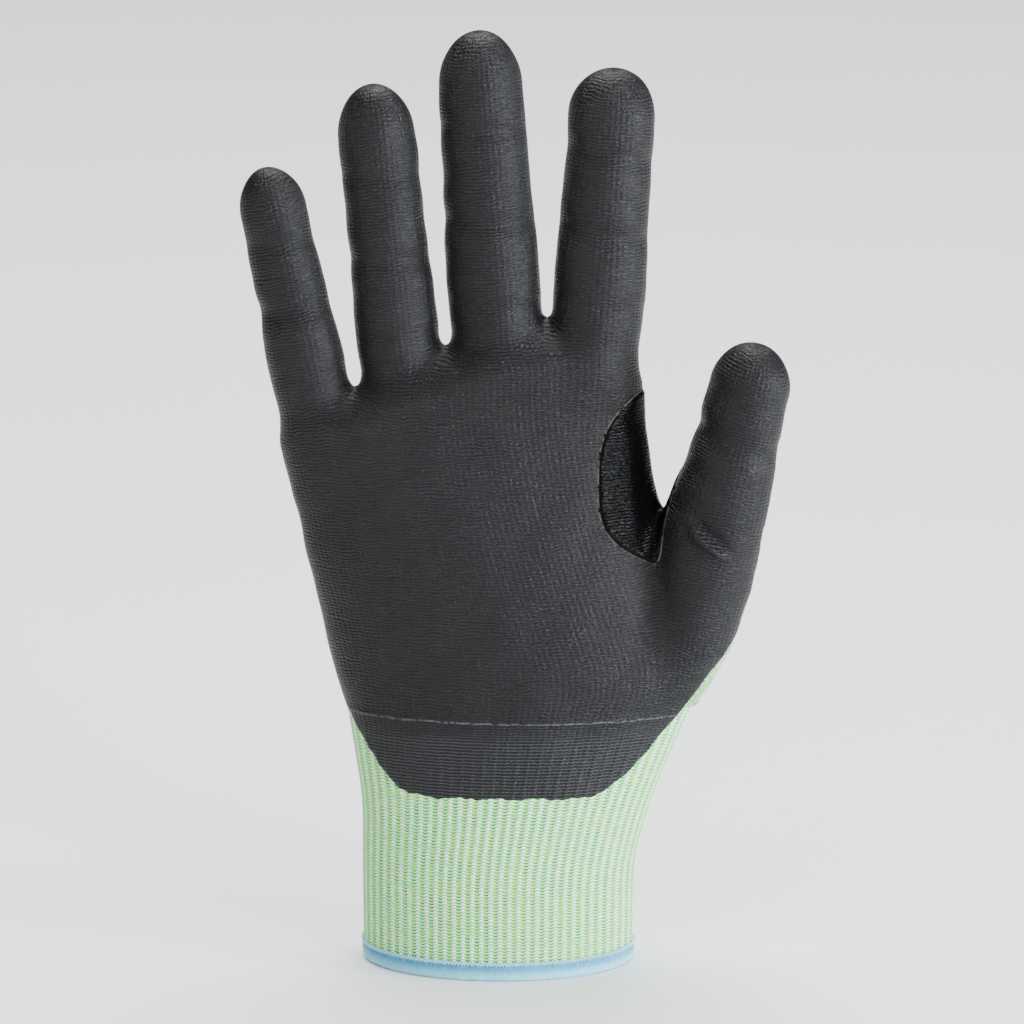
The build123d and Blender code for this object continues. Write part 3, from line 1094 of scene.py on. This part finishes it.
def cuff_piece():
    """The ribbed cuff: its outside, tucked in at the top under the coating, then its inside."""
    around = WALES_ROUND // RIB * RIB_POINTS
    turn = np.arange(around) / around * WALES_ROUND
    tuck = WRIST_ZONE[1] + 5 * MM
    step = COURSE / 2
    outside = np.arange(1.0 * MM, tuck, step)
    inside = np.linspace(tuck, 1.0 * MM, 32)
    points, columns_round = [], []
    for z in outside:
        hidden = np.clip((z - WRIST_ZONE[1]) / (4 * MM), 0, 1)
        snug = 1 - 0.55 * np.clip((z - 50 * MM) / (14 * MM), 0, 1)
        _, column = round_point(z, turn)
        rib = -RIB_RELIEF / 2 * np.cos(2 * np.pi / RIB * column) * snug
        stitch = STITCH_RELIEF * np.cos(2 * np.pi * z / COURSE)
        offset = -COATING + (rib + stitch) * (1 - hidden) - CUFF_TUCK * hidden - 0.1 * MM
        ring, column = round_point(np.full(around, z), turn, offset)
        points.append(ring)
        columns_round.append(column)
    for z in inside:
        ring, column = round_point(np.full(around, z), turn, -COATING - CUFF_WALL)
        points.append(ring)
        columns_round.append(column)
    verts = np.concatenate(points)
    quads = closed_quads(len(points), around)
    piece = new_piece("cuff_rib", verts, quads, None, RIBBED)
    add_values(piece, wale=np.concatenate(columns_round), course=verts[:, 2] / COURSE)
    add_rest(piece, verts)
    WRIST_BEND.attach(piece)
    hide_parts("cuff_knit")


def hem_piece():
    """The binding round the cuff's edge, swollen by each thread. Returns its top."""
    low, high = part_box("hem_binding")
    height = high[2] - low[2]
    around = HEM_THREADS * THREAD_POINTS
    turn = np.arange(around) / around * WALES_ROUND
    swell = 0.07 * MM * np.cos(2 * np.pi * np.arange(around) / THREAD_POINTS)
    loop = np.linspace(0, 2 * np.pi, HEM_SIDES, endpoint=False)
    points, across = [], []
    for angle in loop:
        z = low[2] + height * (0.5 - 0.5 * np.cos(angle)) * 0.98 + 0.05 * MM
        bulge = np.sin(angle)
        offset = HEM_MIDDLE + bulge * (HEM_OUT if bulge > 0 else HEM_IN) + swell
        ring, _ = round_point(np.full(around, z), turn + 0.35 * np.cos(angle), offset)
        points.append(ring)
        across.append(np.full(around, (z - low[2]) / height if bulge >= -0.01 else 0.2))
    verts = np.concatenate(points)
    quads = closed_quads(HEM_SIDES, around)[:, ::-1]
    piece = new_piece("hem_overlock", verts, quads, None, HEM)
    thread = np.tile(np.arange(around) / THREAD_POINTS, HEM_SIDES)
    add_values(piece, thread=thread, height=np.concatenate(across))
    add_rest(piece, verts)
    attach(piece, "cuff")
    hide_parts("hem_binding")
    return high[2]


def chain_piece(top):
    """Zigzag of thread along the hem's upper edge."""
    zigzags, per_zigzag, sides = 200, 6, 6
    thread_radius = 0.19 * MM
    around = zigzags * per_zigzag
    step = np.arange(around)
    phase = step / per_zigzag
    tooth = np.abs(np.mod(phase, 1) - 0.5) * 2
    height = top - 0.2 * MM + 1.0 * MM * (tooth - 0.5)
    turn = step / around * WALES_ROUND
    path, _ = round_point(height, turn, -COATING + 0.38 * MM)
    ahead = np.roll(path, -1, 0) - np.roll(path, 1, 0)
    ahead /= np.linalg.norm(ahead, axis=1)[:, None]
    outward = path - np.array([PALM.section(top)[0], 0, 0])
    outward[:, 2] = 0
    outward /= np.linalg.norm(outward, axis=1)[:, None]
    side = np.cross(ahead, outward)
    side /= np.linalg.norm(side, axis=1)[:, None]
    rings = []
    for n in range(sides):
        angle = 2 * np.pi * n / sides
        rings.append(path + thread_radius * (np.cos(angle) * outward + np.sin(angle) * side))
    verts = np.concatenate(rings)
    piece = new_piece("hem_chain", verts, closed_quads(sides, around), None, CHAIN)
    turn_share = np.repeat(np.arange(sides) / sides, around)
    add_values(piece, thread=np.tile(phase, sides), height=turn_share)
    add_rest(piece, verts)
    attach(piece, "cuff")


cuff_piece()
chain_piece(hem_piece())

elastic = frame["nodes"]["cuff_elastic"]
elastic.data.materials.clear()
elastic.data.materials.append(elastic_material())

# ---------------------------------------------------------------- studio

TARGET = Vector((3.7 * MM, 0, 122 * MM))
AZIMUTH, ELEVATION = radians(2), radians(12)
DISTANCE, FIELD = 1.4, 0.2714  # of the camera, and the width it sees at the glove
FLOOR_REACH = 12.0
SKY_LIGHT, BACKDROP = 0.22, 1.0  # the sky's strength as light, and as the camera sees it
FLOOR_GLOW, GLOW_DISTANCES = 0.8, (0.7, 2.6)  # the floor's glow, and where it sets in and is full


def aim(thing, target):
    direction = Vector(target) - thing.location
    thing.rotation_mode = "QUATERNION"
    thing.rotation_quaternion = direction.to_track_quat("-Z", "Y")


def add_light(name, place, size, power, colour):
    data = bpy.data.lights.new(name, "AREA")
    data.shape, data.size, data.energy, data.color = "DISK", size, power, colour
    light = bpy.data.objects.new(name, data)
    bpy.context.scene.collection.objects.link(light)
    light.location = place
    aim(light, TARGET)


def studio():
    data = bpy.data.cameras.new("camera")
    data.lens = data.sensor_width * DISTANCE / FIELD
    data.clip_start, data.clip_end = 0.05, 20
    camera = bpy.data.objects.new("camera", data)
    bpy.context.scene.collection.objects.link(camera)
    back = (sin(AZIMUTH) * cos(ELEVATION), -cos(AZIMUTH) * cos(ELEVATION), sin(ELEVATION))
    camera.location = TARGET + DISTANCE * Vector(back)
    aim(camera, TARGET)
    bpy.context.scene.camera = camera

    mesh = bpy.data.meshes.new("floor")
    r = FLOOR_REACH
    mesh.from_pydata([(-r, -r, 0), (r, -r, 0), (r, r, 0), (-r, r, 0)], [], [(0, 1, 2, 3)])
    mesh.materials.append(floor_material())
    floor = bpy.data.objects.new("floor", mesh)
    floor.location.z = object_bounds()[0].z - 0.2 * MM
    bpy.context.scene.collection.objects.link(floor)
    floor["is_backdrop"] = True

    world = bpy.data.worlds.new("studio")
    world.use_nodes = True
    tree = world.node_tree
    tree.nodes["Background"].inputs["Color"].default_value = (0.95, 0.97, 1.0, 1.0)
    path, strength = tree.nodes.new("ShaderNodeLightPath"), tree.nodes.new("ShaderNodeMapRange")
    for socket, value in zip(strength.inputs[1:5], (0.0, 1.0, SKY_LIGHT, BACKDROP)):
        socket.default_value = value
    tree.links.new(path.outputs["Is Camera Ray"], strength.inputs["Value"])
    tree.links.new(strength.outputs[0], tree.nodes["Background"].inputs["Strength"])
    bpy.context.scene.world = world
    add_light("key", (0.82, -0.98, 0.24), 0.35, 24, (0.98, 0.99, 1.0))
    add_light("right", (1.08, -0.42, 0.2), 0.35, 28, (0.88, 0.94, 1.0))
    add_light("left", (-0.9, -0.95, 0.3), 0.4, 7, (1.0, 0.99, 0.97))
    add_light("front", (0.0, -0.7, 1.4), 0.8, 8, (1.0, 1.0, 1.0))
    add_light("top", (0.0, 0.7, 2.0), 1.8, 95, (1.0, 1.0, 1.0))


studio()
